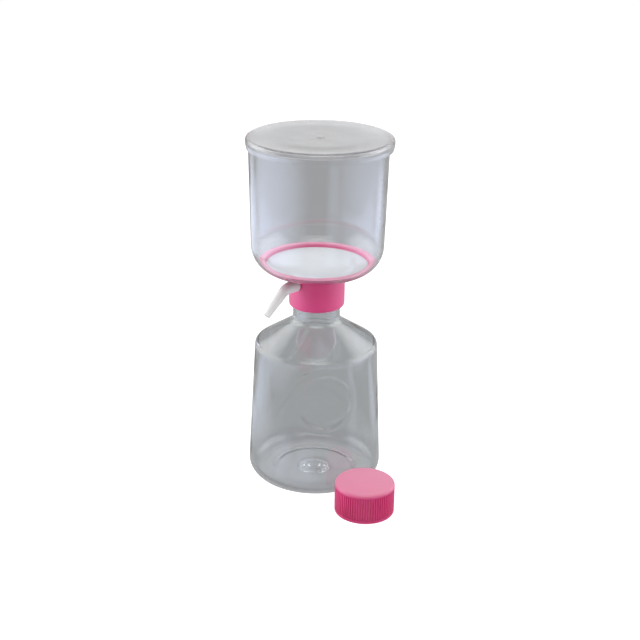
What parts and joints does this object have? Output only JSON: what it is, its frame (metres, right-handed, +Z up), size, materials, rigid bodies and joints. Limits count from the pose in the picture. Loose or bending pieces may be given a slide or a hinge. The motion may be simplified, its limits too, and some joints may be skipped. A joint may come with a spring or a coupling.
{
  "type": "vacuum filtration unit",
  "caption": "Vacuum filtration unit: clear lidded funnel with a white membrane in a pink threaded support plate, on a clear receiver bottle with a side hose nipple, and a loose pink screw cap.",
  "frame": {"origin": "centre of the bottle's underside, on the plane that the bottle stands on", "axes": "+Z up along the bottle's axis, -Y towards the front, where the spare cap stands to the right of the bottle's axis"},
  "size_m": [0.1332, 0.1653, 0.3146],
  "materials": {
    "bottle_plastic": "clear, glossy, blow moulded",
    "funnel_plastic": "clear, glossy, injection moulded",
    "lid_plastic": "clear, slightly frosted",
    "plate_plastic": "satin pink moulding",
    "cap_plastic": "satin pink moulding",
    "membrane": "matt white membrane",
    "gasket_rubber": "soft, matt",
    "nipple_plastic": "translucent off-white moulding",
    "plug_fibre": "packed fibre"
  },
  "bodies": {
    "receiver": {"bottle": "bottle_plastic", "spare_cap": "cap_plastic"},
    "seal": {"neck_gasket": "gasket_rubber"},
    "filter_head": {"support_plate": "plate_plastic", "funnel": "funnel_plastic", "membrane": "membrane", "lid": "lid_plastic"},
    "hose_port": {"hose_nipple": "nipple_plastic", "port_plug": "plug_fibre"}
  },
  "joints": [
    {"name": "screw_lift", "type": "slide", "parent": "receiver", "child": "seal", "axis": [0, 0, 1], "range_m": [0, 0.0051]},
    {"name": "screw_turn", "type": "hinge", "parent": "seal", "child": "filter_head", "pos_m": [0, 0, 0.1804], "axis": [0, 0, 1], "range_deg": [0, 450]},
    {"name": "nipple_swivel", "type": "hinge", "parent": "filter_head", "child": "hose_port", "pos_m": [0, 0, 0.1867], "axis": [-0.7071, -0.7071, 0], "range_deg": [-140, 140]}
  ],
  "couplings": [
    {"joint": "screw_lift", "follows": "screw_turn", "m_per_rad": 0.00063662}
  ]
}
